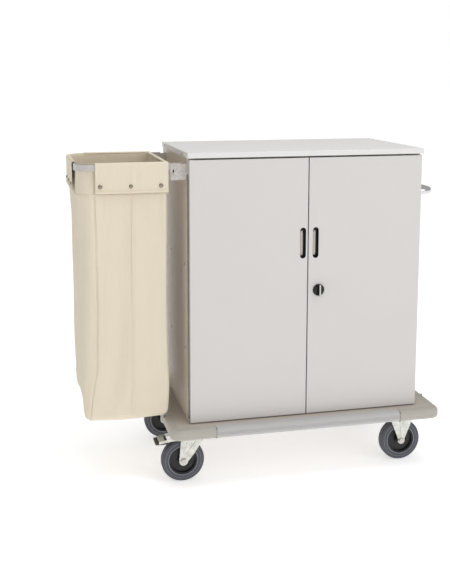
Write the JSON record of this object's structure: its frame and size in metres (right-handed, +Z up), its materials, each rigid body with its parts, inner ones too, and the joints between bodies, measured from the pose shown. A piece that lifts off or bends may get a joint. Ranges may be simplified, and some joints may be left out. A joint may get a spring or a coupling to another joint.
{
  "type": "housekeeping cart",
  "caption": "Sheet-steel housekeeping cart: lockable double-door cabinet with shelves on a bumpered caster base, a canvas bag on a hoop at one end and a push handle at the other.",
  "frame": {"origin": "on the floor under the middle of the whole cart's box", "axes": "+Z up, -Y towards the doors, +X towards the push handle end, the bag at -X"},
  "size_m": [1.2964, 0.61, 1.146],
  "materials": {
    "body_paint": "powder coat, light warm grey",
    "top_paint": "powder coat, light grey",
    "door_paint": "powder coat, light grey",
    "deck_paint": "powder coat, taupe",
    "bumper_strip": "extruded vinyl, grey",
    "bumper_corner": "moulded vinyl, grey",
    "zinc_plate": "bright zinc plate",
    "fastener_zinc": "zinc plated",
    "hinge_steel": "plated steel",
    "pull_plastic": "moulded, black",
    "lock_black": "black, satin",
    "lock_steel": "nickel plate",
    "hoop_steel": "zinc plated flat bar",
    "canvas": "cotton canvas, cream",
    "snap_chrome": "polished",
    "handle_chrome": "satin plated tube",
    "brake_plastic": "moulded, dark grey",
    "tyre_rubber": "solid non-marking rubber, grey",
    "hub_plastic": "moulded, black"
  },
  "bodies": {
    "cabinet": {"side_panel_left": "body_paint", "side_panel_right": "body_paint", "back_panel": "body_paint", "cabinet_floor": "body_paint", "header_rail": "body_paint", "shelf_upper": "body_paint", "shelf_lower": "body_paint", "top_panel": "top_paint", "base_pan": "deck_paint", "base_channels": "deck_paint", "bumper_rails_long": "bumper_strip", "bumper_rails_short": "bumper_strip", "bumper_corners": "bumper_corner", "bag_bracket_front": "zinc_plate", "bag_bracket_rear": "zinc_plate", "swivel_plates": "zinc_plate", "rigid_forks": "zinc_plate", "bolt_keeper": "zinc_plate", "panel_screws": "fastener_zinc", "caster_bolts": "fastener_zinc", "kingpins": "fastener_zinc", "rigid_axles": "fastener_zinc", "hinge_frame_leaves": "hinge_steel", "hinge_pins": "hinge_steel", "bag_hoop": "hoop_steel", "canvas_bag": "canvas", "bag_flaps": "canvas", "bag_snaps": "snap_chrome", "push_handle": "handle_chrome"},
    "door_left": {"door_left_skin": "door_paint", "door_left_liner": "door_paint", "door_left_pull": "pull_plastic", "hinge_door_leaf_left": "hinge_steel", "bolt_case": "zinc_plate"},
    "door_bolt": {"bolt_rod": "zinc_plate"},
    "door_right": {"door_right_skin": "door_paint", "door_right_liner": "door_paint", "door_right_pull": "pull_plastic", "hinge_door_leaf_right": "hinge_steel", "lock_body": "lock_black"},
    "lock": {"lock_plug": "lock_steel", "lock_cam": "zinc_plate"},
    "swivel_front": {"swivel_fork_front": "zinc_plate", "swivel_axle_front": "fastener_zinc"},
    "brake_front": {"brake_lever_front": "zinc_plate", "brake_pad_front": "brake_plastic"},
    "wheel_front_left": {"tyre_front_left": "tyre_rubber", "wheel_hub_front_left": "hub_plastic"},
    "wheel_front_right": {"tyre_front_right": "tyre_rubber", "wheel_hub_front_right": "hub_plastic"},
    "swivel_rear": {"swivel_fork_rear": "zinc_plate", "swivel_axle_rear": "fastener_zinc"},
    "brake_rear": {"brake_lever_rear": "zinc_plate", "brake_pad_rear": "brake_plastic"},
    "wheel_rear_left": {"tyre_rear_left": "tyre_rubber", "wheel_hub_rear_left": "hub_plastic"},
    "wheel_rear_right": {"tyre_rear_right": "tyre_rubber", "wheel_hub_rear_right": "hub_plastic"}
  },
  "joints": [
    {"name": "door_left_hinge", "type": "hinge", "parent": "cabinet", "child": "door_left", "pos_m": [-0.27075, -0.229, 0.672], "axis": [0, 0, -1], "range_deg": [0, 100]},
    {"name": "door_right_hinge", "type": "hinge", "parent": "cabinet", "child": "door_right", "pos_m": [0.55825, -0.229, 0.672], "axis": [0, 0, 1], "range_deg": [0, 175]},
    {"name": "lock_turn", "type": "hinge", "parent": "door_right", "child": "lock", "pos_m": [0.18275, -0.25, 0.664], "axis": [0, 1, 0], "range_deg": [0, 90]},
    {"name": "door_bolt_slide", "type": "slide", "parent": "door_left", "child": "door_bolt", "axis": [0, 0, 1], "range_m": [0, 0.014]},
    {"name": "swivel_front_turn", "type": "hinge", "parent": "cabinet", "child": "swivel_front", "pos_m": [-0.24825, -0.198, 0.175], "axis": [0, 0, 1], "continuous": true},
    {"name": "brake_front_press", "type": "hinge", "parent": "swivel_front", "child": "brake_front", "pos_m": [-0.26225, -0.198, 0.157], "axis": [0, -1, 0], "range_deg": [0, 8]},
    {"name": "wheel_front_left_spin", "type": "hinge", "parent": "swivel_front", "child": "wheel_front_left", "pos_m": [-0.28825, -0.198, 0.075], "axis": [0, 1, 0], "continuous": true},
    {"name": "wheel_front_right_spin", "type": "hinge", "parent": "cabinet", "child": "wheel_front_right", "pos_m": [0.52075, -0.198, 0.075], "axis": [0, 1, 0], "continuous": true},
    {"name": "swivel_rear_turn", "type": "hinge", "parent": "cabinet", "child": "swivel_rear", "pos_m": [-0.24825, 0.198, 0.175], "axis": [0, 0, 1], "continuous": true},
    {"name": "brake_rear_press", "type": "hinge", "parent": "swivel_rear", "child": "brake_rear", "pos_m": [-0.26225, 0.198, 0.157], "axis": [0, -1, 0], "range_deg": [0, 8]},
    {"name": "wheel_rear_left_spin", "type": "hinge", "parent": "swivel_rear", "child": "wheel_rear_left", "pos_m": [-0.28825, 0.198, 0.075], "axis": [0, 1, 0], "continuous": true},
    {"name": "wheel_rear_right_spin", "type": "hinge", "parent": "cabinet", "child": "wheel_rear_right", "pos_m": [0.52075, 0.198, 0.075], "axis": [0, 1, 0], "continuous": true}
  ]
}
